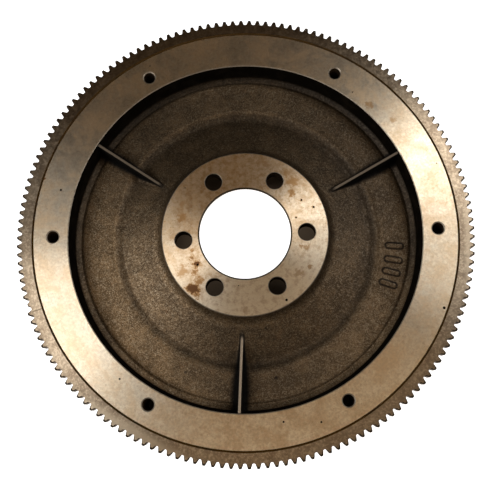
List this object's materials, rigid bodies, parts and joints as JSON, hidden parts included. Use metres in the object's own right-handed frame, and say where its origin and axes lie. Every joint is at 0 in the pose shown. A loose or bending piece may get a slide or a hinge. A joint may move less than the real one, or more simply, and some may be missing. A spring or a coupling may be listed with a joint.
{
  "type": "engine flywheel",
  "caption": "Cast-iron engine flywheel with a shrunk-on starter ring gear, a ribbed open web, a bolt-on crank flange and a tapped clutch rim.",
  "frame": {"origin": "on the axis of rotation, in the plane of the machined crank seat", "axes": "+Z along the axis of rotation, out of the crank seat towards the crankshaft; +X through one crank hole and one cover hole; the shifted index hole is near -X"},
  "size_m": [0.3508, 0.3508, 0.0424],
  "materials": {
    "casting": "sand-cast web, turned rim and hub faces",
    "gear_steel": "turned, with hobbed teeth",
    "dowel_steel": "ground"
  },
  "bodies": {
    "root": {"flywheel_casting": "casting", "ring_gear": "gear_steel", "cover_dowel_1": "dowel_steel", "cover_dowel_2": "dowel_steel", "cover_dowel_3": "dowel_steel"}
  },
  "joints": []
}
